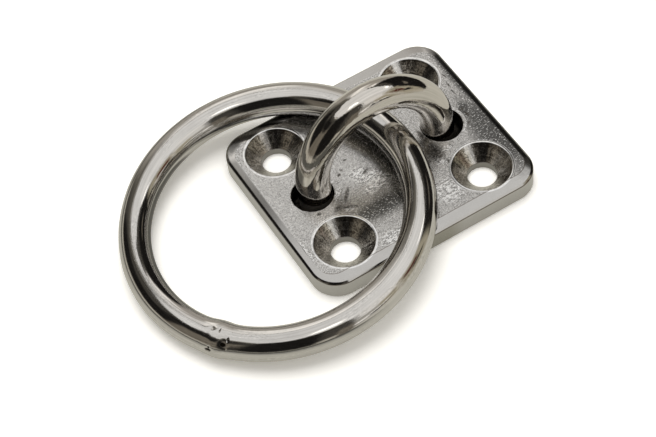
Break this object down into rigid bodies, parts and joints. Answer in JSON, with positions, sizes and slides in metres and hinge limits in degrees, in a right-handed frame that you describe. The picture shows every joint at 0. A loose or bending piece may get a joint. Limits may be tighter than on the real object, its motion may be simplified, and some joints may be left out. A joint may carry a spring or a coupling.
{
  "type": "mooring ring",
  "caption": "Loose round-bar mooring ring hung through a bow welded to a countersunk rectangular base plate with round corners",
  "frame": {"origin": "middle of the base plate's flat underside", "axes": "+Z out of the mounting surface, +X along the bow from one leg to the other, away from the resting ring; +Y across the plate"},
  "size_m": [0.0731, 0.057, 0.0216],
  "materials": {
    "plate_steel": "stamped and tumbled top with a polished border",
    "bow_steel": "mirror polished",
    "weld_steel": "ground weld",
    "ring_steel": "polished with fine lengthwise lines"
  },
  "bodies": {
    "plate": {"base_plate": "plate_steel", "bow": "bow_steel", "bow_weld_left": "weld_steel", "bow_weld_right": "weld_steel"},
    "ring": {"ring": "ring_steel"}
  },
  "joints": [
    {"name": "ring_swing", "type": "hinge", "parent": "plate", "child": "ring", "pos_m": [0.0034, -0.0016, 0.00793], "axis": [-0.0008, 1, 0.0087], "range_deg": [0, 190.4]}
  ]
}
